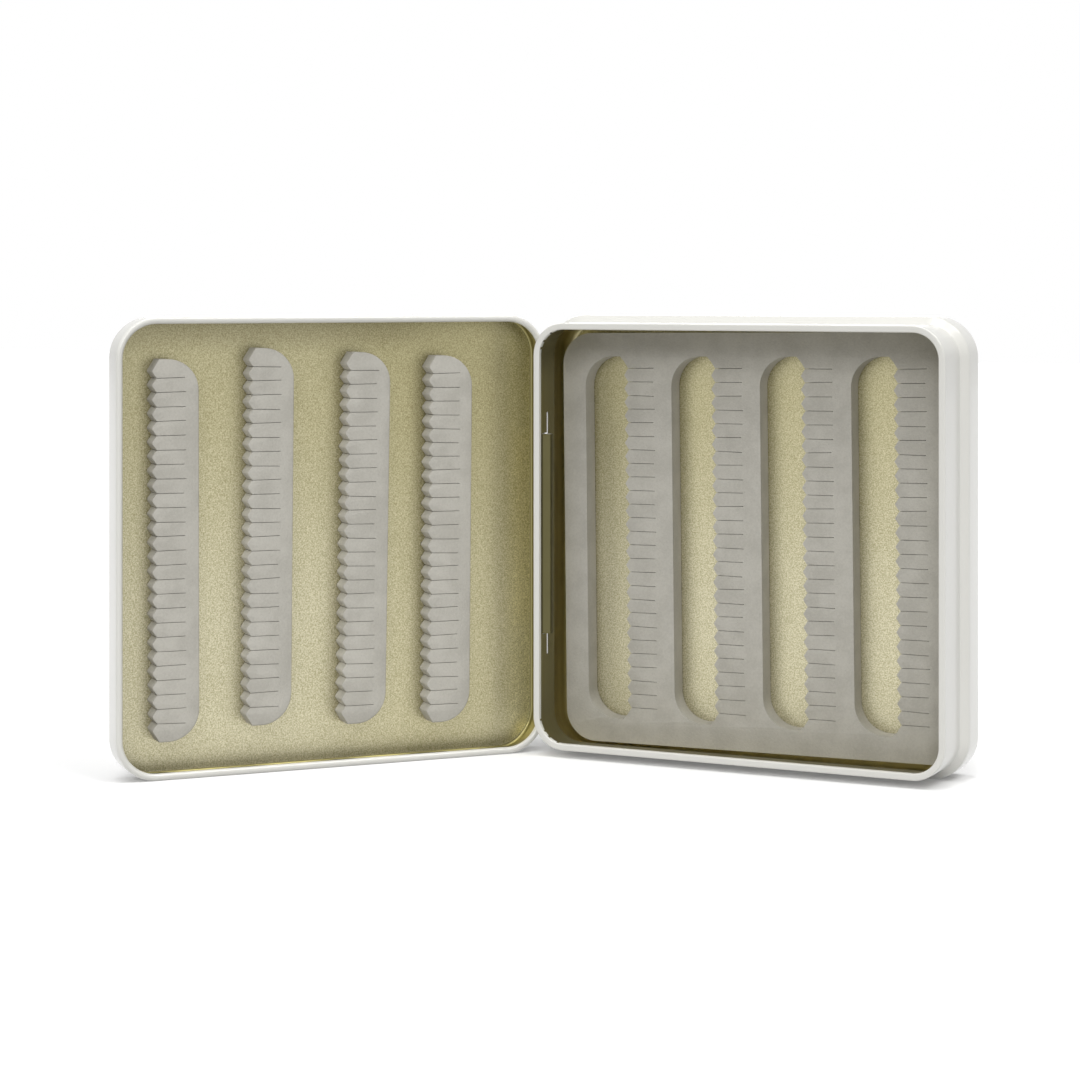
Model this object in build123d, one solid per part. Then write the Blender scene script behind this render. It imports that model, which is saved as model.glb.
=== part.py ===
"""Pocket fly box: a square drawn tin with a hinged lid, standing open on its side edges.

Working frame while building, in millimetres: X runs from the base's hinge side (0) to its free side, Y is
depth, from the rim plane of the base (0) back to its panel, and Z is up, from the surface it stands on.
The lid is drawn closed on the base and then swung open about the hinge. At the end everything is moved so
that the origin is under the middle of the open box.
"""

import os

from build123d import *

# Tin: sizes that lid and base share
tin_side = 105.0  # outside width and height of the base body and of the lid
tin_corner = 9.5  # outside corner radius, seen from the front
sheet = 0.28  # tinplate thickness

# Base tray
base_depth = 22.0  # rim plane to the outside of the back panel
base_panel_radius = 2.6  # outside bend between side wall and back panel
neck_inset = 1.8  # the neck lies this far inside the body, all round
neck_depth = 11.3  # rim plane to the start of the shoulder
shoulder_depth = 1.6  # depth over which the shoulder steps out to the body
shoulder_bend = 0.8
hem_width = 1.6  # the rim is turned inwards to a flat-topped U of this width
hem_bend = 0.2
hem_lip_depth = 1.1  # free edge of the turned rim, below the rim plane
notch_width = 0.5  # relief notches in the inner edge of the rim, at the corners
notch_reach = 0.45
notches_per_corner = 4

# Lid
lid_depth = 7.8  # outside of the panel to the rim
lid_panel_radius = 1.0
lid_seat_gap = 0.15  # closed lid's panel to the rim plane of the base
bead_diameter = 1.6  # the lid's rim is curled inwards to a round bead
bead_turn = 250.0  # degrees of curl

# Hinge: a strap lanced from the neck wall is rolled round the lid's bead
opening_angle = 131.0  # the lid's stop, as it stands
strap_length = 47.8
strap_root_depth = 4.6
strap_bulge = 1.7  # how far the strap stands inside the neck wall
strap_bulge_depth = 1.2  # depth over which it swings in
strap_bend = 0.55
strap_return_bend = 0.9
strap_end_angle = -45.0
hinge_clearance = 0.1  # strap to bead
lance_gap = 0.25  # ends of the strap to the wall it was cut from
slot_length = 58.4
slot_width = 1.25
slot_end_radius = 0.6
slot_lead = 0.35  # the slot starts this far above the strap's return run
window_length = 49.0  # opening in the lid's skirt beside the bead
window_depth = 1.55
window_reach = 0.33  # the window cuts this far in from the skirt's outside, past the sheet

# Foam insert in the base
foam_thickness = 5.0
adhesive_thickness = 0.2
adhesive_margin = 0.8  # foam stands past its adhesive film
insert_corner = 7.5
insert_hinge_gap = 2.5  # edge of the insert to the tin's outside face, on the hinge side
insert_free_gap = 1.9  # the same on the free side
insert_bottom_gap = 2.1
insert_top_gap = 4.0
insert_tilt = 0.65  # degrees; the pad is stuck in a little askew
insert_back_chamfer = 1.2  # soft back edge, lying on the panel's bend
fly_slot_count = 4
fly_slot_width = 10.3
fly_slot_first = 5.9  # left edge of the first fly slot, from the edge of the insert
fly_slot_last = 9.0  # ends of the last slits to the other edge
fly_slot_bottom = 5.75  # ends of the slots to the bottom edge of the insert
fly_slot_top = 5.65
fly_slot_round = 7.2
fly_slot_chamfer = (1.1, 1.25)  # on the slit side, across and along: it runs on into the first V

# Hook slits
slit_pitch = 3.27
slit_end_margin = 2.8  # least room from the end of the slot to its first slit
slit_depth = 7.7
slit_width = 0.25
slit_mouth = 2.7  # each slit opens to a V, so that the edge runs in a zigzag
slit_mouth_depth = 1.0

# Foam strips on the lid: the pieces cut from the slots, turned round and stuck down by hand
strip_trim = 0.2  # knife loss on every edge
strip_chamfer = (1.6, 2.6)
strip_hinge_margin = 23.8  # middle of the first strip to the hinge side
strip_free_margin = 14.4  # middle of the last strip to the free side
strip_slips = [(0.0, -0.6), (-1.3, 0.4), (-0.1, 1.6), (0.0, -0.7)]  # across and up, off an even row
strip_tilts = [-0.5, -0.9, -0.5, 0.1]  # degrees

# Worked out from the above
mid_height = tin_side / 2
base_floor = base_depth - sheet
lid_outer = -lid_seat_gap - sheet
lid_inner = -lid_seat_gap
lid_rim = lid_outer + lid_depth
bead_radius = bead_diameter / 2
hinge_x = bead_radius
hinge_y = lid_rim - bead_radius
loop_radius = bead_radius + hinge_clearance + sheet / 2
strap_return_y = hinge_y + loop_radius
neck_mid = neck_inset + sheet / 2
insert_face = base_floor - adhesive_thickness - foam_thickness
insert_width = tin_side - insert_hinge_gap - insert_free_gap
insert_height = tin_side - insert_bottom_gap - insert_top_gap
fly_slot_length = insert_height - fly_slot_bottom - fly_slot_top
fly_slot_room = insert_width - fly_slot_first - fly_slot_last - fly_slot_width - slit_depth
fly_slot_pitch = fly_slot_room / (fly_slot_count - 1)
slit_count = int((fly_slot_length - 2 * slit_end_margin) / slit_pitch) + 1  # its offcut has one less
strip_pitch = (tin_side - strip_hinge_margin - strip_free_margin) / (fly_slot_count - 1)
hinge_axis = Axis((hinge_x, hinge_y, 0), (0, 0, 1))
centre_axis = Axis((mid_height, 0, mid_height), (0, 1, 0))


def rolled_ring(section):
    """Carries a wall section once round the tin: a straight run and a turned corner, four times."""
    corner_axis = Axis((tin_corner, 0, tin_corner), (0, 1, 0))
    start = Pos(0, 0, tin_corner) * section
    run = extrude(start, tin_side - 2 * tin_corner, dir=(0, 0, 1))
    corner = revolve(start, corner_axis, -90)
    quarter = run + corner
    ring = quarter
    for turn in (90, 180, 270):
        ring = ring + quarter.rotate(centre_axis, turn)
    return ring


def panel(edge, outer_y):
    """Flat middle of a drawn panel, out to where its wall section takes over."""
    outline = RectangleRounded(tin_side - 2 * edge, tin_side - 2 * edge, tin_corner - edge)
    plane = Plane((mid_height, outer_y, mid_height), x_dir=(1, 0, 0), z_dir=(0, 1, 0))
    return extrude(plane * outline, sheet)


def block(low, high):
    """A box between two corners."""
    size = [b - a for a, b in zip(low, high)]
    return Pos(*low) * Box(*size, align=(Align.MIN, Align.MIN, Align.MIN))


def base_section():
    """Turned rim, neck, shoulder, body wall and the bend to the back panel, as one bent strip of sheet."""
    lip_mid = neck_inset + hem_width - sheet / 2
    rim_mid = sheet / 2
    body_mid = sheet / 2
    panel_mid = base_depth - sheet / 2
    run = FilletPolyline(
        (lip_mid, hem_lip_depth),
        (lip_mid, rim_mid),
        (neck_mid, rim_mid),
        (neck_mid, neck_depth),
        (body_mid, neck_depth + shoulder_depth),
        (body_mid, panel_mid),
        (base_panel_radius + sheet, panel_mid),
        radius=[hem_bend, hem_bend, shoulder_bend, shoulder_bend, base_panel_radius - sheet / 2],
    )
    return trace(run.edges(), line_width=sheet)


def lid_section():
    """Curled bead, skirt and the bend to the lid's panel."""
    curl = CenterArc((bead_radius, hinge_y), bead_radius - sheet / 2, 180 - bead_turn, bead_turn)
    panel_mid = lid_outer + sheet / 2
    run = FilletPolyline(
        (sheet / 2, hinge_y),
        (sheet / 2, panel_mid),
        (lid_panel_radius + sheet, panel_mid),
        radius=lid_panel_radius - sheet / 2,
    )
    return trace([*curl.edges(), *run.edges()], line_width=sheet)


def hinge_strap():
    """Strap from the neck wall: in, back out through the slot, and round the lid's bead."""
    bulge = neck_mid + strap_bulge
    run = FilletPolyline(
        (neck_mid, strap_root_depth - 2 * sheet),
        (neck_mid, strap_root_depth),
        (bulge, strap_root_depth + strap_bulge_depth),
        (bulge, strap_return_y),
        (hinge_x, strap_return_y),
        radius=[strap_bend, strap_bend, strap_return_bend],
    )
    loop = CenterArc((hinge_x, hinge_y), loop_radius, 90, 270 + strap_end_angle)
    profile = trace([*run.edges(), *loop.edges()], line_width=sheet)
    return extrude(Pos(0, 0, mid_height - strap_length / 2) * profile, strap_length, dir=(0, 0, 1))


def hinge_cuts():
    """Lanced opening behind the strap, and the long slot that the strap returns through."""
    lance = strap_length / 2 + lance_gap
    slot_start = strap_return_y - sheet / 2 - slot_lead
    near = neck_inset - sheet
    far = neck_inset + 2 * sheet
    low = (near, strap_root_depth, mid_height - lance)
    high = (far, slot_start + sheet, mid_height + lance)
    plane = Plane((near, slot_start + slot_width / 2, mid_height), x_dir=(0, 0, 1), z_dir=(1, 0, 0))
    long_slot = extrude(plane * RectangleRounded(slot_length, slot_width, slot_end_radius), far - near)
    return block(low, high) + long_slot


def lip_notches():
    """Small relief notches in the inner edge of the rim where it turns each corner."""
    lip_inside = tin_corner - neck_inset - hem_width
    low = (lip_inside - sheet, -sheet, -notch_width / 2)
    high = (lip_inside + notch_reach, hem_lip_depth + sheet, notch_width / 2)
    cutter = block(low, high)
    cuts = []
    for corner in range(4):
        for notch in range(notches_per_corner):
            angle = 180 + 90 * (notch + 0.5) / notches_per_corner
            tool = cutter.rotate(Axis.Y, -angle)
            tool = Pos(tin_corner, 0, tin_corner) * tool
            cuts.append(tool.rotate(centre_axis, 90 * corner))
    return cuts


def make_base_tray():
    shell = rolled_ring(base_section()) + panel(base_panel_radius + sheet, base_floor)
    shell = shell - hinge_cuts()
    for cut in lip_notches():
        shell = shell - cut
    return shell + hinge_strap()


def make_lid_shell():
    shell = rolled_ring(lid_section()) + panel(lid_panel_radius + sheet, lid_outer)
    window = block(
        (-sheet, hinge_y - window_depth, mid_height - window_length / 2),
        (window_reach, hinge_y, mid_height + window_length / 2),
    )
    return shell - window


def slot_outline(width, length, chamfer_size):
    """Outline of one fly slot about its centre: rounded on one side, chamfered on the slit side."""
    half_w = width / 2
    half_l = length / 2
    across, along = chamfer_size
    corners = [
        (-half_w, -half_l + fly_slot_round),
        (-half_w, half_l - fly_slot_round),
        (-half_w + fly_slot_round, half_l),
        (half_w - across, half_l),
        (half_w, half_l - along),
        (half_w, -half_l + along),
        (half_w - across, -half_l),
        (-half_w + fly_slot_round, -half_l),
    ]
    edge = Line(corners[0], corners[1])
    top = RadiusArc(corners[1], corners[2], fly_slot_round)
    rest = Polyline(*corners[2:])
    bottom = RadiusArc(corners[7], corners[0], fly_slot_round)
    return make_face([*edge.edges(), *top.edges(), *rest.edges(), *bottom.edges()])


def slit_row(count, edge_x, direction):
    """Hook slits: thin cuts with a V mouth, running from edge_x along direction (1 or -1)."""
    cuts = []
    for number in range(count):
        z = (number - (count - 1) / 2) * slit_pitch
        end = edge_x + direction * slit_depth
        throat = edge_x + direction * slit_mouth_depth
        start = edge_x - direction * slit_width
        outline = Polyline(
            (start, z - slit_mouth / 2),
            (edge_x, z - slit_mouth / 2),
            (throat, z - slit_width / 2),
            (end, z - slit_width / 2),
            (end, z + slit_width / 2),
            (throat, z + slit_width / 2),
            (edge_x, z + slit_mouth / 2),
            (start, z + slit_mouth / 2),
            close=True,
        )
        cuts.append(make_face(outline.edges()))
    return cuts


def foam_plane(x, y, z):
    """Plane across the box at depth y, with its axes along X and Z; extrusions run towards the rim."""
    return Plane((x, y, z), x_dir=(1, 0, 0), z_dir=(0, -1, 0))


def insert_plane(y):
    """The insert's own plane at depth y: origin at the pad's middle, turned by its tilt."""
    x = insert_hinge_gap + insert_width / 2
    z = insert_bottom_gap + insert_height / 2
    return foam_plane(x, y, z) * Rot(0, 0, insert_tilt)


def slot_places():
    """Middles of the fly slots, from the middle of the insert."""
    x = fly_slot_first + fly_slot_width / 2 - insert_width / 2
    z = fly_slot_bottom + fly_slot_length / 2 - insert_height / 2
    return [Pos(x + number * fly_slot_pitch, z) for number in range(fly_slot_count)]


def make_base_foam_insert():
    plane = insert_plane(base_floor - adhesive_thickness)
    pad = extrude(plane * RectangleRounded(insert_width, insert_height, insert_corner), foam_thickness)
    back_edges = pad.faces().sort_by(Axis.Y)[-1].edges()
    pad = chamfer(back_edges, insert_back_chamfer)
    opening = slot_outline(fly_slot_width, fly_slot_length, fly_slot_chamfer)
    for slit in slit_row(slit_count, fly_slot_width / 2, 1):
        opening = opening + slit
    for place in slot_places():
        pad = pad - extrude(plane * place * opening, foam_thickness)
    return pad


def make_insert_adhesive():
    plane = insert_plane(base_floor)
    inset = 2 * (adhesive_margin + insert_back_chamfer)
    outline = RectangleRounded(insert_width - inset, insert_height - inset, insert_corner)
    film = extrude(plane * outline, adhesive_thickness)
    clear = Rectangle(fly_slot_width + 2 * adhesive_margin, fly_slot_length + 2 * adhesive_margin)
    for place in slot_places():
        film = film - extrude(plane * place * clear, adhesive_thickness)
    return film


def strip_outline():
    """One offcut, turned half round: its slits open away from the hinge."""
    width = fly_slot_width + slit_mouth_depth - 2 * strip_trim
    outline = slot_outline(width, fly_slot_length - 2 * strip_trim, strip_chamfer)
    for slit in slit_row(slit_count - 1, width / 2, -1):
        outline = outline - slit
    return outline


def lid_plane(number, y):
    """Plane on the closed lid for one strip, with local x away from the hinge; extrusions run inwards."""
    slip_x, slip_z = strip_slips[number]
    x = strip_hinge_margin + number * strip_pitch + slip_x
    plane = Plane((x, y, mid_height + slip_z), x_dir=(1, 0, 0), z_dir=(0, 1, 0))
    return plane * Rot(0, 0, strip_tilts[number])


def make_lid_foam_strip(number):
    return extrude(lid_plane(number, lid_inner + adhesive_thickness) * strip_outline(), foam_thickness)


def make_strip_adhesive(number):
    width = fly_slot_width + slit_mouth_depth - 2 * strip_trim - slit_depth - adhesive_margin
    film = Rectangle(width, fly_slot_length - 2 * fly_slot_round)
    shift = Pos(-(slit_depth - adhesive_margin) / 2, 0)
    return extrude(lid_plane(number, lid_inner) * shift * film, adhesive_thickness)


def swing_open(piece):
    """Turns a piece of the closed lid to where the lid stands."""
    return piece.rotate(hinge_axis, -opening_angle)


pieces = {
    "base_tray": make_base_tray(),
    "base_foam_insert": make_base_foam_insert(),
    "insert_adhesive": make_insert_adhesive(),
    "lid_shell": swing_open(make_lid_shell()),
}
for index in range(fly_slot_count):
    pieces[f"lid_foam_strip_{index + 1}"] = swing_open(make_lid_foam_strip(index))
    pieces[f"strip_adhesive_{index + 1}"] = swing_open(make_strip_adhesive(index))

whole = Compound(children=[Compound(piece.solids()) for piece in pieces.values()]).bounding_box()
origin = Vector((whole.min.X + whole.max.X) / 2, (whole.min.Y + whole.max.Y) / 2, whole.min.Z)

os.makedirs("parts", exist_ok=True)
for name, piece in pieces.items():
    export_step(Pos(-origin.X, -origin.Y, -origin.Z) * piece, f"parts/{name}.step")
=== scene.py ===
import math
import random

import bmesh
import bpy
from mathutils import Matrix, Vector


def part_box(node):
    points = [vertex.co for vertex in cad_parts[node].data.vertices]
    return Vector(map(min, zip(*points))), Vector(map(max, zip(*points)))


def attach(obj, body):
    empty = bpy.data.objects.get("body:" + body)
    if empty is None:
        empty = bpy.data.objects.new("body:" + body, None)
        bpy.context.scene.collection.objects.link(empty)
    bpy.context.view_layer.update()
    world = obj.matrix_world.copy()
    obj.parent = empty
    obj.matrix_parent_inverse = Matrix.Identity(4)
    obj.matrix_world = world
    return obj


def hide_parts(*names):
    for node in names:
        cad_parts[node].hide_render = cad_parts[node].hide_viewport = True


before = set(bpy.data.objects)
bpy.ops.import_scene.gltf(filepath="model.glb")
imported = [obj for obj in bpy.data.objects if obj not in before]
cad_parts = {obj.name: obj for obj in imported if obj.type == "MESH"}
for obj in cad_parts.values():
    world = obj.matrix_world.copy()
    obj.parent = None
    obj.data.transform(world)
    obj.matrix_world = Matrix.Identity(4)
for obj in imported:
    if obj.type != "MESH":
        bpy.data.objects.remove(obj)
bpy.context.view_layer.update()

# Camera
# In front of the open box, on the side of its base and a little above its top edge. The lens is
# level, so the tin's upright edges stay upright, and a vertical shift lowers the view onto the box.
MM = 0.001
tray_low, tray_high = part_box("base_tray")
tin_side = 105 * MM
# Every size is drawn from here: the base's hinge side, its rim plane and its underside.
foot = Vector((tray_high.x - tin_side, tray_low.y, tray_low.z))

focal_ratio = 2591.5 / 1080  # focal length over the picture's width
horizon = 282.6 / 1080  # height of the horizon in the picture, from the top
camera_place = Vector((271.9, -555.4, 112.76)) * MM  # from the foot
camera_turn = 25.78  # degrees
lens = bpy.data.cameras.new("view_lens")
lens.sensor_width = 36
lens.lens = focal_ratio * lens.sensor_width
lens.shift_y = horizon - 0.5
camera = bpy.data.objects.new("view", lens)
bpy.context.collection.objects.link(camera)
camera.location = foot + camera_place
camera.rotation_euler = (math.radians(90), 0, math.radians(camera_turn))
bpy.context.scene.camera = camera


# Base tray
# The deeper half of the tin: one drawn sheet of tinplate with a stepped neck, its rim turned
# inwards to a U. White enamel outside and over the rim, clear gold lacquer inside. The hinge strap
# is lanced from the neck wall, comes back out through a slot and is rolled round the lid's bead.
tin_corner = 9.5 * MM
sheet = 0.28 * MM
base_depth = 22 * MM
base_panel_radius = 2.6 * MM
neck_inset = 1.8 * MM
neck_depth = 11.3 * MM
shoulder_depth = 1.6 * MM
wall_bend = 0.8 * MM
hem_width = 1.6 * MM
hem_lip_depth = 1.1 * MM
hem_bend = 0.2 * MM
neck_mid = neck_inset + sheet / 2
mid_height = tin_side / 2
base_panel = base_depth - sheet / 2

# The middle of the lid's bead is the hinge. The lid is drawn closed and then swung open.
hinge_x = 0.8 * MM
hinge_y = 6.57 * MM
hinge_point = foot + Vector((hinge_x, hinge_y, 0))
opening = math.radians(131)

LACQUER, RAW_EDGE, DRAWN, ROLLED = 1, 2, 3, 4  # a tin's material slots; 0 is the enamel
flat = 0.98  # a face whose normal lies this far along an axis counts as square to it
weld = sheet / 20
smooth_angle = math.radians(35)


def deselect():
    """Back to object mode with nothing selected, so that the next primitive stands alone."""
    if bpy.context.object and bpy.context.object.mode != "OBJECT":
        bpy.ops.object.mode_set(mode="OBJECT")
    bpy.ops.object.select_all(action="DESELECT")


def take(piece, mode="OBJECT"):
    """Makes a piece the only one selected, all of it, in object or edit mode."""
    deselect()
    piece.select_set(True)
    bpy.context.view_layer.objects.active = piece
    if mode == "EDIT":
        bpy.ops.object.mode_set(mode="EDIT")
        bpy.ops.mesh.select_all(action="SELECT")


def start_section(name, x, y, z):
    """A single point in edit mode, from which a bent section is drawn."""
    deselect()
    bpy.ops.mesh.primitive_plane_add(size=sheet, location=(0, 0, 0))
    piece = bpy.context.object
    piece.name = piece.data.name = name
    bpy.ops.object.mode_set(mode="EDIT")
    bpy.ops.mesh.select_mode(type="VERT")
    bpy.ops.mesh.select_all(action="SELECT")
    bpy.ops.mesh.merge(type="CENTER")
    bpy.ops.transform.translate(value=foot + Vector((x, y, z)))
    add_finishes(piece, *tin_finishes)
    return piece


def draw(*step):
    """Extrudes what is selected by one straight step."""
    bpy.ops.mesh.extrude_region_move(TRANSFORM_OT_translate={"value": step})


def roll(degrees, centre, axis=(0, 0, 1), steps=8):
    """Spins what is selected; a positive turn is right-handed about the axis."""
    angle = -math.radians(degrees)
    bpy.ops.mesh.spin(steps=steps, angle=angle, center=foot + Vector(centre), axis=axis)


def bend_sheet(corners, radii, z, steps):
    """Carries the section on through the corners, in plan, with a bend at each but the last."""
    used = 0
    for before, corner, after, radius in zip(corners, corners[1:], corners[2:], radii):
        way_in = Vector(corner) - Vector(before)
        way_out = Vector(after) - Vector(corner)
        turn = -way_in.angle_signed(way_out)
        reach = radius * math.tan(abs(turn) / 2)
        run = way_in.normalized() * (way_in.length - used - reach)
        draw(run.x, run.y, 0)
        side = math.copysign(radius, turn)
        start = Vector(corner) - way_in.normalized() * reach
        centre = start + Vector((-way_in.y, way_in.x)).normalized() * side
        roll(math.degrees(turn), (centre.x, centre.y, z), steps=steps)
        used = reach
    run = way_out.normalized() * (way_out.length - used)
    draw(run.x, run.y, 0)


def carry_round(steps):
    """Takes the section, drawn on the hinge side above the lower corner, once round the tin."""
    run = tin_side - 2 * tin_corner
    low, high = tin_corner, tin_side - tin_corner
    sides = ((low, low, 1, 0), (high, low, 0, 1), (high, high, -1, 0), (low, high, 0, -1))
    bpy.ops.mesh.select_all(action="SELECT")
    for x, z, way_x, way_z in sides:
        roll(-90, (x, 0, z), axis=(0, 1, 0), steps=steps)
        draw(way_x * run, 0, way_z * run)
    bpy.ops.mesh.select_all(action="SELECT")
    bpy.ops.mesh.remove_doubles(threshold=weld)


def select_faces(piece, wanted):
    """Selects in edit mode the faces whose middle and normal pass a test."""
    bpy.ops.mesh.select_mode(type="FACE")
    bpy.ops.mesh.select_all(action="DESELECT")
    shape = bmesh.from_edit_mesh(piece.data)
    for face in shape.faces:
        if wanted(face.calc_center_median(), face.normal):
            face.select_set(True)
    bmesh.update_edit_mesh(piece.data)


def select_edges(piece, wanted):
    """Selects in edit mode the edges whose middle, direction and facing sides pass a test."""
    bpy.ops.mesh.select_mode(type="EDGE")
    bpy.ops.mesh.select_all(action="DESELECT")
    shape = bmesh.from_edit_mesh(piece.data)
    for edge in shape.edges:
        low, high = (point.co for point in edge.verts)
        sides = [face.normal for face in edge.link_faces]
        if wanted((low + high) / 2, (high - low).normalized(), sides):
            edge.select_set(True)
    bmesh.update_edit_mesh(piece.data)


def select_points(piece, wanted):
    """Selects in edit mode the points whose place passes a test, with the edges between them."""
    bpy.ops.mesh.select_mode(type="VERT")
    bpy.ops.mesh.select_all(action="DESELECT")
    shape = bmesh.from_edit_mesh(piece.data)
    for point in shape.verts:
        if wanted(point.co):
            point.select_set(True)
    shape.select_flush(True)
    bmesh.update_edit_mesh(piece.data)


def close_panel(piece, depth, facing):
    """Closes the end of the drawn wall with its flat panel, and turns every face outwards."""
    select_points(piece, lambda place: abs(place.y - foot.y - depth) < weld)
    bpy.ops.mesh.region_to_loop()
    bpy.ops.mesh.edge_face_add()
    bpy.ops.mesh.select_all(action="SELECT")
    bpy.ops.mesh.normals_make_consistent(inside=False)
    shape = bmesh.from_edit_mesh(piece.data)
    panel = max(shape.faces, key=lambda face: face.calc_area())
    if panel.normal.y * facing < 0:
        bpy.ops.mesh.flip_normals()
    bpy.ops.object.mode_set(mode="OBJECT")


def apply_modifier(piece, kind, **settings):
    """Adds a modifier with its settings and applies it."""
    take(piece)
    modifier = piece.modifiers.new(kind.lower(), kind)
    for name, value in settings.items():
        setattr(modifier, name, value)
    bpy.ops.object.modifier_apply(modifier=modifier.name)


def thicken(piece):
    """Gives the drawn surface the sheet's thickness: enamelled side, lacquered side, raw edges."""
    slots = {"material_offset": LACQUER, "material_offset_rim": RAW_EDGE}
    apply_modifier(piece, "SOLIDIFY", thickness=sheet, offset=0, use_even_offset=True, **slots)


def cutter_box(name, low, high):
    """A box to cut with, between two corners; what it cuts is a raw edge."""
    deselect()
    low, high = Vector(low), Vector(high)
    bpy.ops.mesh.primitive_cube_add(size=1, location=foot + (low + high) / 2, scale=high - low)
    box = bpy.context.object
    box.name = name
    bpy.ops.object.transform_apply(location=True, rotation=True, scale=True)
    add_finishes(box, *tin_finishes)
    for face in box.data.polygons:
        face.material_index = RAW_EDGE
    return box


def join(pieces):
    """Joins several objects into the first."""
    deselect()
    for piece in pieces:
        piece.select_set(True)
    bpy.context.view_layer.objects.active = pieces[0]
    bpy.ops.object.join()
    return pieces[0]


def smooth_walls(piece, polished=DRAWN):
    """Only the flat panel keeps the grainy lacquer: drawing or rolling polishes the rest."""
    for face in piece.data.polygons:
        if face.material_index == LACQUER and abs(face.normal.y) < flat:
            face.material_index = polished


def combine(piece, tool, operation="DIFFERENCE"):
    """Cuts a piece with a tool, or welds the tool to it, and removes the tool."""
    apply_modifier(piece, "BOOLEAN", operation=operation, solver="EXACT", object=tool)
    bpy.data.objects.remove(tool)


def add_finishes(piece, *finishes):
    """Fills a piece's material slots in order."""
    piece.data.materials.clear()
    for finish in finishes:
        piece.data.materials.append(finish)


class Wire:
    """One output in a finish's nodes; arithmetic on it adds Math nodes."""

    def __init__(self, tree, socket=None):
        self.tree = tree
        self.socket = socket

    def node(self, kind, settings=None, values=None, output=0):
        """Adds a node: its settings, then the values or wires of its sockets; gives an output."""
        made = self.tree.nodes.new("ShaderNode" + kind)
        for name, value in (settings or {}).items():
            setattr(made, name, value)
        for name, value in (values or {}).items():
            if isinstance(value, Wire):
                self.tree.links.new(value.socket, made.inputs[name])
            else:
                made.inputs[name].default_value = value
        return Wire(self.tree, made.outputs[output] if made.outputs else None)

    def math(self, operation, first, second):
        return self.node("Math", {"operation": operation}, {0: first, 1: second})

    def __add__(self, other):
        return self.math("ADD", self, other)

    __radd__ = __add__

    def __sub__(self, other):
        return self.math("SUBTRACT", self, other)

    def __rsub__(self, other):
        return self.math("SUBTRACT", other, self)

    def __mul__(self, other):
        return self.math("MULTIPLY", self, other)

    __rmul__ = __mul__

    def noise(self, size, detail=2.0, roughness=0.5):
        """Noise over an object's own place, with features of about the given size, from 0 to 1."""
        values = {"Vector": self, "Scale": 1 / size, "Detail": detail, "Roughness": roughness}
        return self.node("TexNoise", {}, values)

    def step(self, low, high):
        """Stretches a value so that low gives 0 and high gives 1, smoothly."""
        smooth = {"interpolation_type": "SMOOTHSTEP"}
        return self.node("MapRange", smooth, {0: self, 1: low, 2: high})

    def along(self, way):
        """How far a place lies along a direction."""
        return self.node("VectorMath", {"operation": "DOT_PRODUCT"}, {0: self, 1: way}, 1)

    def rings(self, size):
        """Noise along one direction only, given the distance along it."""
        values = {"W": self, "Scale": 1 / size, "Detail": 2.0}
        return self.node("TexNoise", {"noise_dimensions": "1D"}, values)

    def mix(self, first, second):
        """A colour between two, by this value."""
        return self.node("Mix", {"data_type": "RGBA"}, {0: self, 6: first, 7: second}, 2)

    def tint(self, colour, shade):
        """A colour multiplied by a shade, by this value."""
        settings = {"data_type": "RGBA", "blend_type": "MULTIPLY"}
        return self.node("Mix", settings, {0: self, 6: colour, 7: shade}, 2)

    def bump(self, height):
        """A surface raised by this value times a height in metres."""
        return self.node("Bump", {}, {"Height": self, "Distance": height, "Strength": 1.0})


def new_finish(name):
    """A material with empty nodes, and the wire of its object coordinates."""
    finish = bpy.data.materials.new(name)
    finish.use_nodes = True
    finish.node_tree.nodes.clear()
    return finish, Wire(finish.node_tree).node("TexCoord", output="Object")


def surface(place, **values):
    """Closes a finish with one shader; a socket's name is written with underscores."""
    sockets = {name.replace("_", " "): value for name, value in values.items()}
    shader = place.node("BsdfPrincipled", {}, sockets)
    place.node("OutputMaterial", {}, {"Surface": shader})


def paint(red, green, blue):
    """A colour given as 0 to 255 a channel, as a shader takes it."""
    channels = [value / 255 for value in (red, green, blue)]
    return (*[c / 12.92 if c <= 0.04045 else ((c + 0.055) / 1.055) ** 2.4 for c in channels], 1)


def make_enamel():
    finish, place = new_finish("white_enamel")
    cloud = place.noise(14 * MM, 2.0)
    peel = place.noise(2.2 * MM, 1.0)
    colour = cloud.mix(paint(222, 221, 215), paint(218, 217, 211))
    surface(
        place,
        Base_Color=colour,
        Roughness=0.28 + 0.06 * cloud,
        IOR=1.5,
        Coat_Weight=0.5,
        Coat_Roughness=0.12,
        Normal=peel.bump(0.002 * MM),
    )
    return finish


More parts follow.
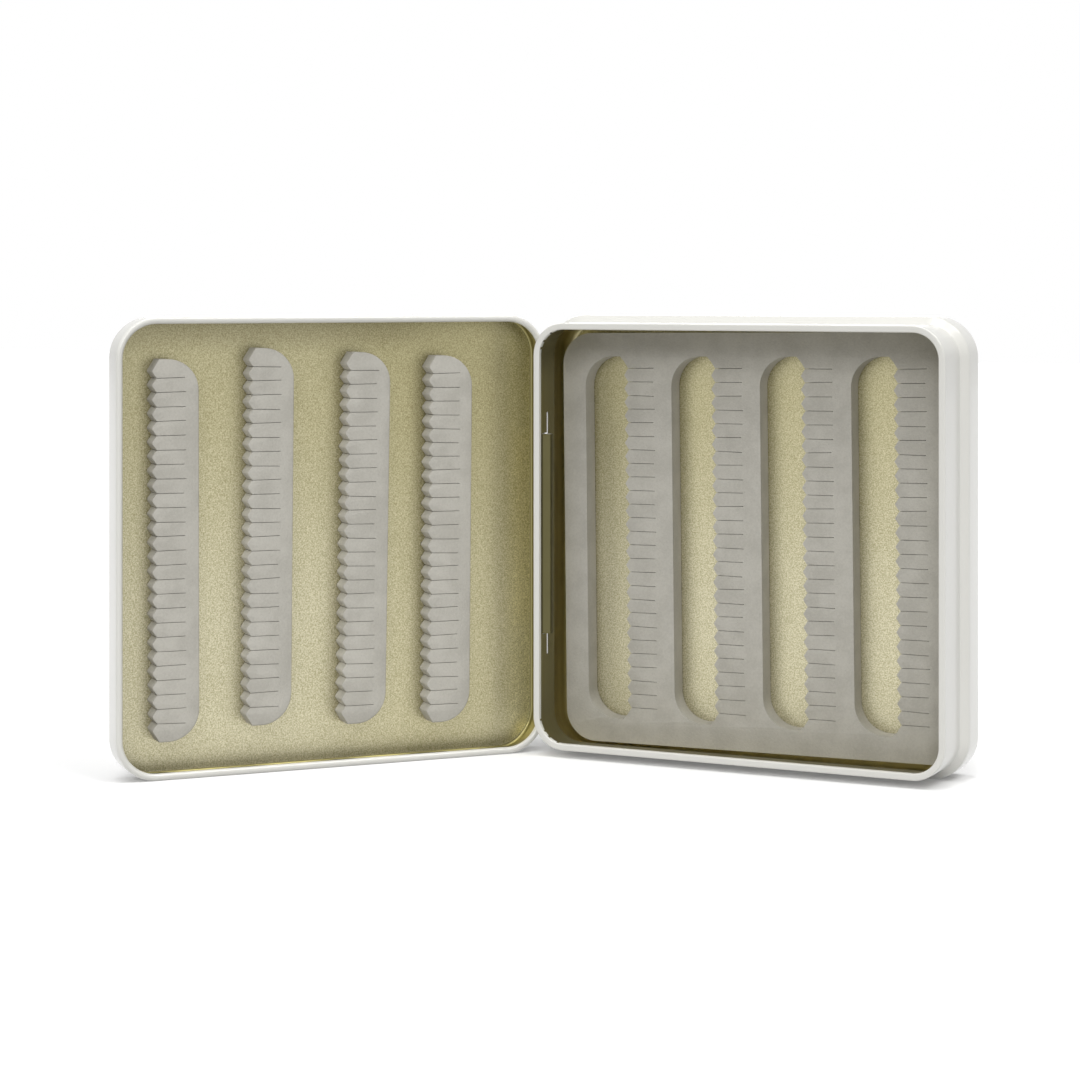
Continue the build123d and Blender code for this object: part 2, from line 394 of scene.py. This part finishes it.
def make_lacquer():
    """Satin and grainy, with painted shade towards the top and near the hinge, and a painted
    highlight beside it.
    """
    finish, place = new_finish("gold_lacquer")
    cloud = place.noise(16 * MM, 2.0)
    grain = place.noise(0.3 * MM, 1.0)
    tone = (0.08 * cloud + grain).step(0.2, 0.9)
    # Painted shade: the tone darkens towards the top, and a band under the lid's top wall is its
    # painted shadow.
    lower_tone = tone.mix(paint(162, 156, 121), paint(221, 215, 188))
    painted_shade_tone = tone.mix(paint(149, 142, 104), paint(203, 196, 161))
    painted_shadow_tone = tone.mix(paint(134, 127, 92), paint(184, 177, 145))
    height = place.along((0, 0, 1)) - foot.z
    lid_way = Vector((math.cos(opening), -math.sin(opening), 0))
    out = place.along(lid_way) - hinge_point.dot(lid_way) + hinge_x  # under 0 in the base
    high = height.step(30 * MM, 90 * MM)
    top_band = height.step(95 * MM, 101 * MM) * out.step(15 * MM, 40 * MM)
    # Painted shade over the part of the lid's panel nearer the hinge, and a painted highlight along
    # the panel's edge beside the hinge wall.
    hinge_shade = out.step(4 * MM, 12 * MM) * out.step(65 * MM, 25 * MM)
    brighter = out.step(0, 1 * MM) * out.step(10 * MM, 3 * MM)
    colour = top_band.mix(high.mix(lower_tone, painted_shade_tone), painted_shadow_tone)
    colour = hinge_shade.tint(colour, (0.91, 0.9, 0.83, 1))
    colour = brighter.tint(colour, (1.35, 1.35, 1.2, 1))
    satin = 0.34 + 0.12 * grain
    surface(place, Base_Color=colour, Metallic=0.85, Roughness=satin, Normal=grain.bump(0.02 * MM))
    return finish


def make_drawn_wall():
    """Polished in faint rings by the drawing die, with painted shade towards the rim and a painted
    highlight towards the base's back panel.
    """
    finish, place = new_finish("drawn_wall")
    depth = place.along((0, 1, 0))
    ring = depth.rings(2.5 * MM)
    deep = (depth + 4 * MM * ring).step(foot.y + neck_depth, foot.y + base_panel)
    # Painted shade darkens the wall towards the rim; a painted highlight lightens it towards the
    # back panel.
    colour = deep.mix(paint(132, 125, 84), paint(236, 227, 184))
    surface(place, Base_Color=colour, Metallic=1.0, Roughness=0.28 + 0.12 * ring)
    return finish


def make_rolled_strap():
    """Plain lacquer tone outside the neck, where it turns round the bead; painted shade darkens it
    inside the neck.
    """
    finish, place = new_finish("rolled_strap")
    cloud = place.noise(6 * MM, 2.0)
    neck = foot.x + neck_inset
    inside = place.along((1, 0, 0)).step(neck - sheet, neck + sheet)
    brighter = cloud.mix(paint(196, 188, 148), paint(182, 174, 134))
    # Painted shade: darker inside the neck, where the strap lies behind its slot.
    painted_shade = cloud.mix(paint(92, 87, 58), paint(104, 99, 70))
    surface(place, Base_Color=inside.mix(brighter, painted_shade), Metallic=1.0, Roughness=0.35 + 0.1 * cloud)
    return finish


def make_cut_edge():
    finish, place = new_finish("cut_edge")
    grain = place.noise(0.2 * MM, 2.0)
    colour = grain.mix(paint(120, 118, 108), paint(168, 165, 152))
    surface(place, Base_Color=colour, Metallic=0.9, Roughness=0.45 + 0.1 * grain)
    return finish


tin_finishes = [
    make_enamel(),
    make_lacquer(),
    make_cut_edge(),
    make_drawn_wall(),
    make_rolled_strap(),
]

lip_mid = neck_inset + hem_width - sheet / 2
base_tin = start_section("base_tin", lip_mid, hem_lip_depth, tin_corner)
wall_corners = [
    (lip_mid, hem_lip_depth),
    (lip_mid, sheet / 2),
    (neck_mid, sheet / 2),
    (neck_mid, neck_depth),
    (sheet / 2, neck_depth + shoulder_depth),
    (sheet / 2, base_panel),
    (base_panel_radius + sheet, base_panel),
]
wall_bends = [hem_bend, hem_bend, wall_bend, wall_bend, base_panel_radius - sheet / 2]
bend_sheet(wall_corners, wall_bends, tin_corner, steps=8)
carry_round(steps=18)
close_panel(base_tin, base_panel, facing=1)
thicken(base_tin)
smooth_walls(base_tin)

# The strap runs from its root in the neck wall inwards, along and back out through its slot, and
# then round the lid's bead.
strap_length = 47.8 * MM
strap_root = 4.6 * MM
strap_bulge_depth = 1.2 * MM  # depth over which it swings in
strap_bulge = neck_mid + 1.7 * MM
strap_bend = 0.55 * MM
strap_return_bend = 0.9 * MM
strap_curl = 225  # degrees round the bead
loop_radius = 1.04 * MM  # of the sheet's middle, with 0.1 mm to spare round the bead
strap_return = hinge_y + loop_radius
strap_low = mid_height - strap_length / 2
lance = strap_length / 2 + 0.25 * MM
slot_lead = 0.35 * MM
slot_start = strap_return - sheet / 2 - slot_lead
slot_width = 0.8 * MM
slot_end_radius = 0.39 * MM
slot_length = 58.4 * MM
wall_near, wall_far = neck_inset - sheet, neck_inset + 2 * sheet

lanced_gap = cutter_box(
    "lanced_gap",
    (wall_near, strap_root, mid_height - lance),
    (wall_far, slot_start + sheet, mid_height + lance),
)
combine(base_tin, lanced_gap)
strap_slot = cutter_box(
    "strap_slot",
    (wall_near, slot_start, mid_height - slot_length / 2),
    (wall_far, slot_start + slot_width, mid_height + slot_length / 2),
)
take(strap_slot, "EDIT")
select_edges(strap_slot, lambda place, way, sides: abs(way.x) > 0.9)
bpy.ops.mesh.bevel(offset=slot_end_radius, segments=8, affect="EDGES")
combine(base_tin, strap_slot)

strap = start_section("strap", neck_mid, strap_root - 2 * sheet, strap_low)
strap_corners = [
    (neck_mid, strap_root - 2 * sheet),
    (neck_mid, strap_root),
    (strap_bulge, strap_root + strap_bulge_depth),
    (strap_bulge, strap_return),
    (hinge_x, strap_return),
]
bend_sheet(strap_corners, [strap_bend, strap_bend, strap_return_bend], strap_low, steps=6)
roll(strap_curl, (hinge_x, hinge_y, strap_low), steps=18)
bpy.ops.mesh.select_all(action="SELECT")
draw(0, 0, strap_length)
bpy.ops.mesh.select_all(action="SELECT")
bpy.ops.mesh.remove_doubles(threshold=weld)
bpy.ops.mesh.normals_make_consistent(inside=False)
shape = bmesh.from_edit_mesh(strap.data)
loop_face = min(shape.faces, key=lambda face: face.calc_center_median().x)
if loop_face.normal.x < 0:
    bpy.ops.mesh.flip_normals()
bpy.ops.object.mode_set(mode="OBJECT")
thicken(strap)
smooth_walls(strap, polished=ROLLED)
combine(base_tin, strap, "UNION")

# Ragged relief nicks in the rim's inner edge, at the two corners on the hinge side, where the sheet
# is gathered.
nicks_per_corner = 4
nick_step = 90 / nicks_per_corner  # degrees
nick_width = 0.45 * MM
nick_reach = 0.45 * MM
nick_depth = 0.85 * MM
lip_inside = tin_corner - neck_inset - hem_width
bite = random.Random(3)
nicks = []
for corner_z, turn in ((tin_corner, 180), (tin_side - tin_corner, 90)):
    for number in range(nicks_per_corner):
        angle = math.radians(turn + (number + 0.5) * nick_step + bite.uniform(-5, 5))
        width = nick_width * bite.uniform(0.5, 1.6)
        nick = cutter_box(
            "nick",
            (lip_inside - sheet, hem_lip_depth - nick_depth * bite.uniform(0.6, 1.3), -width / 2),
            (lip_inside + nick_reach, hem_lip_depth + sheet, width / 2),
        )
        take(nick, "EDIT")
        bpy.ops.transform.rotate(value=angle, orient_axis="Y", center_override=foot)
        bpy.ops.transform.translate(value=(tin_corner, 0, corner_z))
        nicks.append(nick)
combine(base_tin, join(nicks))

take(base_tin)
bpy.ops.object.shade_smooth_by_angle(angle=smooth_angle)
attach(base_tin, "base")
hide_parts("base_tray")


# Lid
# The shallow half of the same tinplate, its rim curled inwards to a bead. The bead is the hinge
# pin: the base's strap is rolled round it, and a window in the skirt beside it leaves it room.
lid_panel_radius = 1 * MM
seat_gap = 0.15 * MM  # closed lid's panel to the base's rim plane
lid_panel = -seat_gap - sheet / 2
bead_radius = 0.8 * MM
bead_curl = 250  # degrees
curl_start = math.radians(-70)  # where the bead's free edge lies
curl_radius = bead_radius - sheet / 2
window_length = 49 * MM
window_depth = 1.55 * MM
window_reach = 0.33 * MM


def swing_open(piece):
    """Turns a piece drawn on the closed lid to where the lid stands open."""
    take(piece, "EDIT")
    bpy.ops.transform.rotate(value=opening, orient_axis="Z", center_override=hinge_point)
    bpy.ops.object.mode_set(mode="OBJECT")


lid_tin = start_section(
    "lid_tin",
    hinge_x + curl_radius * math.cos(curl_start),
    hinge_y + curl_radius * math.sin(curl_start),
    tin_corner,
)
roll(bead_curl, (hinge_x, hinge_y, tin_corner), steps=20)
lid_corners = [
    (sheet / 2, hinge_y),
    (sheet / 2, lid_panel),
    (lid_panel_radius + sheet, lid_panel),
]
bend_sheet(lid_corners, [lid_panel_radius - sheet / 2], tin_corner, steps=10)
carry_round(steps=18)
close_panel(lid_tin, lid_panel, facing=-1)
thicken(lid_tin)
smooth_walls(lid_tin)
window = cutter_box(
    "window",
    (-sheet, hinge_y - window_depth, mid_height - window_length / 2),
    (window_reach, hinge_y, mid_height + window_length / 2),
)
combine(lid_tin, window)
swing_open(lid_tin)
take(lid_tin)
bpy.ops.object.shade_smooth_by_angle(angle=smooth_angle)
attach(lid_tin, "lid")
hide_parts("lid_shell")


# Foam insert
# A pad of closed-cell EVA foam, 5 mm thick, stuck into the base a little askew. Four slots are cut
# through it, each with a zigzag edge and a row of knife slits that hold the hooks.
foam_thickness = 5 * MM
film_thickness = 0.2 * MM
insert_width = 100.6 * MM
insert_height = 98.9 * MM
insert_corner = 7.5 * MM
insert_back_bevel = 1.2 * MM
insert_middle = Vector((2.5 * MM + insert_width / 2, 0, 2.1 * MM + insert_height / 2))
insert_back = base_depth - sheet - film_thickness
insert_tilt = 0.65  # degrees
slot_count = 4
fly_slot_width = 10.3 * MM  # to the tips of the teeth
fly_slot_round = 7.2 * MM
fly_slot_length = 87.5 * MM
fly_slot_first = 5.9 * MM  # from the pad's left edge
fly_slot_last = 9.0 * MM  # from the ends of the last slits to the pad's right edge
fly_slot_bottom = 5.75 * MM  # from the pad's lower edge
fly_slot_chamfer = (1.1 * MM, 1.25 * MM)  # on the toothed side, across and along
slit_count = 26
slit_pitch = 3.27 * MM
slit_depth = 7.7 * MM
slit_width = 0.12 * MM
slit_mouth = 3.2 * MM
fly_slot_room = insert_width - fly_slot_first - fly_slot_last - fly_slot_width - slit_depth
fly_slot_pitch = fly_slot_room / (slot_count - 1)
tooth_depth = 1.0 * MM
tooth_round = 0.12 * MM
insert_round = 0.4 * MM
past = 1 * MM  # cutters reach this far past the foam, front and back
hair = 0.001 * MM  # room for rounding where places are compared


def foam_block(name, width, length, thickness):
    """A block of foam about the origin, its front towards -Y."""
    deselect()
    bpy.ops.mesh.primitive_cube_add(size=1, location=(0, 0, 0), scale=(width, thickness, length))
    block = bpy.context.object
    block.name = block.data.name = name
    bpy.ops.object.transform_apply(location=True, rotation=True, scale=True)
    return block


def round_corners(block, radius, wanted):
    """Rounds the chosen edges that run through the thickness."""
    take(block, "EDIT")
    select_edges(block, lambda place, way, sides: abs(way.y) > flat and wanted(place))
    bpy.ops.mesh.bevel(offset=radius, segments=12, affect="EDGES")
    bpy.ops.object.mode_set(mode="OBJECT")


def chamfer_ends(block, width, length, across, along):
    """Chamfers the two corners of a block on its toothed side, towards +X."""
    take(block, "EDIT")
    right, top = width / 2 - hair, length / 2 - hair
    for end in (-1, 1):
        bpy.ops.mesh.select_all(action="SELECT")
        bpy.ops.mesh.bisect(plane_co=(0, 0, end * (length / 2 - along)), plane_no=(0, 0, 1))
        select_points(block, lambda place: place.x > right and place.z * end > top)
        bpy.ops.transform.translate(value=(-across, 0, 0))
    bpy.ops.object.mode_set(mode="OBJECT")


def slit_blades(count, edge_x, side, mouth, dice):
    """A row of blades to cut hook slits with, from an edge towards a side, each opening to a V.

    The slits are a little uneven, as a knife leaves them.
    """
    blade = foam_block("blade", slit_width, mouth, foam_thickness + 2 * past)
    take(blade, "EDIT")
    bpy.ops.transform.translate(value=(edge_x - side * slit_width / 2, 0, 0))
    select_points(blade, lambda place: place.x * side > edge_x * side - hair)
    draw(side * tooth_depth, 0, 0)
    throat = Vector((edge_x + side * tooth_depth, 0, 0))
    bpy.ops.transform.resize(value=(1, 1, slit_width / mouth), center_override=throat)
    draw(side * (slit_depth - tooth_depth), 0, 0)
    bpy.ops.mesh.select_all(action="SELECT")
    bpy.ops.mesh.normals_make_consistent(inside=False)
    bpy.ops.object.mode_set(mode="OBJECT")
    row = []
    for number in range(count):
        slit = blade.copy()
        slit.data = blade.data.copy()
        bpy.context.collection.objects.link(slit)
        lean = dice.gauss(0, 0.09 * MM)
        longer = dice.gauss(0, 0.14 * MM)
        for point in slit.data.vertices:
            if abs(point.co.x - edge_x) > slit_depth / 2:
                point.co.x += side * longer
                point.co.z += lean
            point.co.z += (number - (count - 1) / 2) * slit_pitch
        row.append(slit)
    bpy.data.objects.remove(blade)
    return join(row)


def soften(block, length, tooth_lines, outline, teeth):
    """Rounds the front edges: the outline more, the teeth along their lines less, the slits not."""
    front = min(point.co.y for point in block.data.vertices) + 10 * hair
    end = length / 2 - 0.5 * MM

    def near_teeth(place):
        near = any(abs(place.x - line) < tooth_depth * 0.7 for line in tooth_lines)
        return near and abs(place.z) < end

    def is_rim(place, way, sides):
        facing = [side.y < -0.9 for side in sides]
        on_rim = place.y < front and len(sides) == 2 and facing.count(True) == 1
        in_slit = abs(way.x) > 0.97 and abs(place.z) < end
        return on_rim and not in_slit

    take(block, "EDIT")
    select_edges(block, lambda place, *edge: is_rim(place, *edge) and not near_teeth(place))
    bpy.ops.mesh.bevel(offset=outline, segments=3, affect="EDGES", clamp_overlap=True)
    select_edges(block, lambda place, *edge: is_rim(place, *edge) and near_teeth(place))
    bpy.ops.mesh.bevel(offset=teeth, segments=2, affect="EDGES", clamp_overlap=True)
    bpy.ops.object.mode_set(mode="OBJECT")


def make_foam():
    finish, place = new_finish("grey_foam")
    cloud = place.noise(6 * MM, 3.0).step(0.3, 0.7)
    speck = place.noise(0.5 * MM, 3.0, 0.6)
    pores = place.node("TexVoronoi", {"feature": "F1"}, {"Vector": place, "Scale": 1 / (0.55 * MM)})
    hollow = pores.step(0.05, 0.5)
    tone = (0.3 * cloud + 0.7 * speck).step(0.2, 0.8)
    surface(
        place,
        Base_Color=tone.mix(paint(180, 177, 168), paint(194, 191, 182)),
        Roughness=0.85 + 0.1 * speck,
        Specular_IOR_Level=0.25,
        Normal=(0.6 * speck + 0.4 * hollow).bump(0.05 * MM),
    )
    return finish


foam = make_foam()
dice = random.Random(7)
insert_foam = foam_block("insert_foam", insert_width, insert_height, foam_thickness)
round_corners(insert_foam, insert_corner, lambda place: True)
take(insert_foam, "EDIT")
select_faces(insert_foam, lambda place, normal: normal.y > flat)
bpy.ops.mesh.bevel(offset=insert_back_bevel, segments=4, affect="EDGES")
bpy.ops.object.mode_set(mode="OBJECT")

openings, slits, tooth_lines = [], [], []
first_slot = fly_slot_first + fly_slot_width / 2 - insert_width / 2
slot_height = fly_slot_bottom + fly_slot_length / 2 - insert_height / 2
for number in range(slot_count):
    fly_slot = foam_block("fly_slot", fly_slot_width, fly_slot_length, foam_thickness + 2 * past)
    round_corners(fly_slot, fly_slot_round, lambda place: place.x < 0)
    chamfer_ends(fly_slot, fly_slot_width, fly_slot_length, *fly_slot_chamfer)
    blades = slit_blades(slit_count, fly_slot_width / 2, 1, slit_mouth, dice)
    slot_x = first_slot + number * fly_slot_pitch
    tooth_lines.append(slot_x + fly_slot_width / 2 + tooth_depth / 2)
    for cutter in (fly_slot, blades):
        take(cutter, "EDIT")
        bpy.ops.transform.translate(value=(slot_x, 0, slot_height))
    openings.append(fly_slot)
    slits.append(blades)
combine(insert_foam, join(openings))
combine(insert_foam, join(slits))
soften(insert_foam, insert_height, tooth_lines, insert_round, tooth_round)
take(insert_foam, "EDIT")
tilt = math.radians(insert_tilt)
bpy.ops.transform.rotate(value=tilt, orient_axis="Y", center_override=(0, 0, 0))
middle = foot + insert_middle + Vector((0, insert_back - foam_thickness / 2, 0))
bpy.ops.transform.translate(value=middle)
bpy.ops.object.mode_set(mode="OBJECT")
add_finishes(insert_foam, foam)
take(insert_foam)
bpy.ops.object.shade_smooth_by_angle(angle=smooth_angle)
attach(insert_foam, "base")
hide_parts("base_foam_insert")


# Lid strips
# The four pieces that came out of the insert's slots, turned half round and stuck to the lid by
# hand, so no two are quite level. Their slits open away from the hinge.
strip_trim = 0.2 * MM
strip_round = 0.35 * MM
strip_chamfer = (1.6 * MM, 2.6 * MM)
strip_slit_mouth = 2.85 * MM
strip_hinge_margin = 23.8 * MM  # middle of the first strip to the lid's hinge side
strip_free_margin = 14.4 * MM  # middle of the last strip to its free side
strip_width = fly_slot_width + tooth_depth - 2 * strip_trim
strip_length = fly_slot_length - 2 * strip_trim
strip_pitch = (tin_side - strip_hinge_margin - strip_free_margin) / (slot_count - 1)
strip_slips = [(0.0, -0.6), (-1.3, 0.4), (-0.1, 1.6), (0.0, -0.7)]  # mm across and up
strip_tilts = [-0.5, -0.9, -0.5, 0.1]  # degrees
for number in range(slot_count):
    strip = foam_block(f"strip_foam_{number + 1}", strip_width, strip_length, foam_thickness)
    round_corners(strip, fly_slot_round, lambda place: place.x < 0)
    chamfer_ends(strip, strip_width, strip_length, *strip_chamfer)
    combine(strip, slit_blades(slit_count - 1, strip_width / 2, -1, strip_slit_mouth, dice))
    soften(strip, strip_length, [strip_width / 2 - tooth_depth / 2], strip_round, tooth_round)
    # Mirrored, so that its front faces the closed base.
    take(strip, "EDIT")
    bpy.ops.transform.resize(value=(1, -1, 1), center_override=(0, 0, 0))
    bpy.ops.mesh.select_all(action="SELECT")
    bpy.ops.mesh.normals_make_consistent(inside=False)
    slip_x, slip_z = strip_slips[number]
    tilt = -math.radians(strip_tilts[number])
    bpy.ops.transform.rotate(value=tilt, orient_axis="Y", center_override=(0, 0, 0))
    strip_x = strip_hinge_margin + number * strip_pitch + slip_x * MM
    strip_y = -seat_gap + film_thickness + foam_thickness / 2
    bpy.ops.transform.translate(value=foot + Vector((strip_x, strip_y, mid_height + slip_z * MM)))
    swing_open(strip)
    add_finishes(strip, foam)
    take(strip)
    bpy.ops.object.shade_smooth_by_angle(angle=smooth_angle)
    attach(strip, "lid")
    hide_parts(f"lid_foam_strip_{number + 1}")


# Adhesive films
# Clear transfer film between foam and tin. Only its edge can be seen, inside the slots.
def make_film():
    finish, place = new_finish("clear_film")
    streak = place.noise(2 * MM, 2.0)
    colour = streak.mix(paint(196, 190, 160), paint(214, 209, 184))
    surface(place, Base_Color=colour, Roughness=0.3 + 0.15 * streak)
    return finish


film = make_film()
strip_films = [f"strip_adhesive_{number + 1}" for number in range(slot_count)]
for name in ["insert_adhesive"] + strip_films:
    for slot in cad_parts[name].material_slots:
        slot.material = film


# Table and light
# A white table top under a white surround, with six broad soft lamps: overhead, high on the right,
# high and low in front, and weak ones low on the left and behind.
table_size = 6  # metres, past the edges of the view
table_seen, table_bounce = 0.9, 0.6  # its shade to the camera, and as it lights the box
glow_seen, glow_strength = 0.16, 0.61  # so that it reads as white, and shows white in the tin
ambient, mirrored_ambient = 0.19, 0.68
lamp_spread = math.radians(24)


def grey(level):
    return (level, level, level, 1)


deselect()
bpy.ops.mesh.primitive_plane_add(size=table_size, location=(0, 0, tray_low.z))
table = bpy.context.object
table.name = "table_top"
top, place = new_finish("white_table")
direct = place.node("LightPath", output="Is Camera Ray")
mirrored = place.node("LightPath", output="Is Glossy Ray")
surface(
    place,
    Base_Color=direct.mix(grey(table_bounce), grey(table_seen)),
    Roughness=1.0,
    Specular_IOR_Level=0.0,
    Emission_Color=mirrored.mix(direct.mix(grey(0), grey(glow_seen)), grey(1)),
    Emission_Strength=glow_strength,
)
add_finishes(table, top)

surround = bpy.data.worlds.new("white_surround")
bpy.context.scene.world = surround
surround.use_nodes = True
surround.node_tree.nodes.clear()
sky = Wire(surround.node_tree)
direct = sky.node("LightPath", output="Is Camera Ray")
mirrored = sky.node("LightPath", output="Is Glossy Ray")
through = sky.node("LightPath", output="Is Transmission Ray")
plain = direct.math("MAXIMUM", direct, through)
level = ambient + mirrored_ambient * mirrored
strength = level + (1 - level) * plain
background = sky.node("Background", {}, {"Color": grey(1), "Strength": strength})
sky.node("OutputWorld", {}, {"Surface": background})


def hang_lamp(name, height, bearing, strength):
    """A broad lamp, by its height and bearing from the front; strength 1 shows white as white."""
    shape = bpy.data.lights.new(name, "SUN")
    shape.energy = strength * math.pi
    shape.angle = lamp_spread
    lamp = bpy.data.objects.new(name, shape)
    bpy.context.collection.objects.link(lamp)
    up, turn = math.radians(height), math.radians(bearing)
    way = Vector((math.sin(turn) * math.cos(up), -math.cos(turn) * math.cos(up), math.sin(up)))
    lamp.rotation_euler = way.to_track_quat("Z", "Y").to_euler()


hang_lamp("overhead_lamp", 88, 26, 0.34)
hang_lamp("right_lamp", 60, 84, 0.32)
hang_lamp("high_front_lamp", 60, 6, 0.23)
hang_lamp("low_front_lamp", 25, 16, 0.29)
hang_lamp("left_lamp", 25, -36, 0.07)
hang_lamp("back_lamp", 20, 206, 0.2)

bpy.context.scene.view_settings.view_transform = "Standard"
